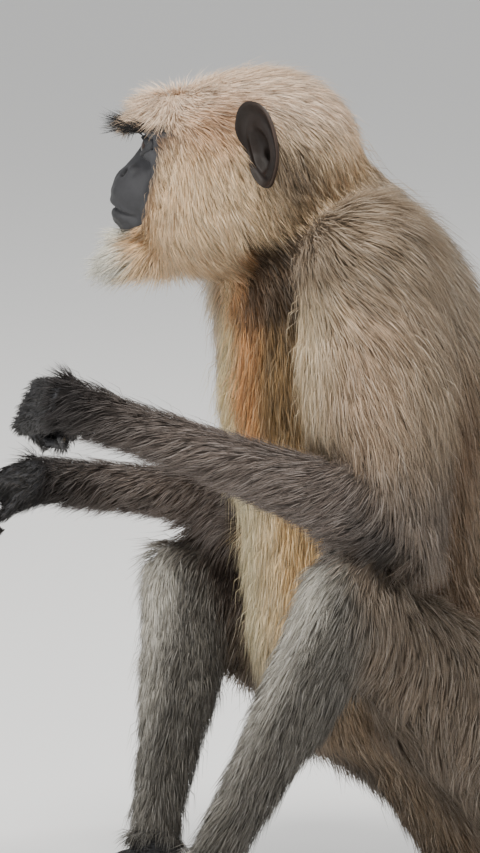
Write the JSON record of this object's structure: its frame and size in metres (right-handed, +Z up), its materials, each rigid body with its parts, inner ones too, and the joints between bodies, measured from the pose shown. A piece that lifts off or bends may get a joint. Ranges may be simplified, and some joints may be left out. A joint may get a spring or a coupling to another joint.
{
  "type": "monkey",
  "caption": "Grey langur sitting upright with its knees drawn up, forearms laid across them, hands half closed, head turned aside, long tail curved along the floor.",
  "frame": {"origin": "on the floor at the middle of the flat under the seat", "axes": "+Z up, -Y the way the animal's chest faces, +X its left side; +Y is behind it"},
  "size_m": [0.3957, 0.5325, 0.4829],
  "materials": {
    "pale_fur": "long pale cream fur of the head, nape and chest",
    "grey_fur": "long grey-brown fur of the body, limbs and tail",
    "black_skin": "bare or thinly haired black skin of the face, ears, hands and feet",
    "eye": "wet dark brown eye"
  },
  "bodies": {
    "root": {"head": "pale_fur", "face": "black_skin", "neck": "pale_fur", "chest": "pale_fur", "belly": "grey_fur", "pelvis": "grey_fur", "left_eye": "eye", "left_ear": "black_skin", "left_thigh": "grey_fur", "left_shin": "grey_fur", "left_foot": "black_skin", "left_upper_arm": "grey_fur", "left_forearm": "grey_fur", "left_hand": "black_skin", "right_eye": "eye", "right_ear": "black_skin", "right_thigh": "grey_fur", "right_shin": "grey_fur", "right_foot": "black_skin", "right_upper_arm": "grey_fur", "right_forearm": "grey_fur", "right_hand": "black_skin", "tail_1": "grey_fur", "tail_2": "grey_fur", "tail_3": "grey_fur", "tail_4": "grey_fur", "tail_5": "grey_fur"}
  },
  "joints": []
}
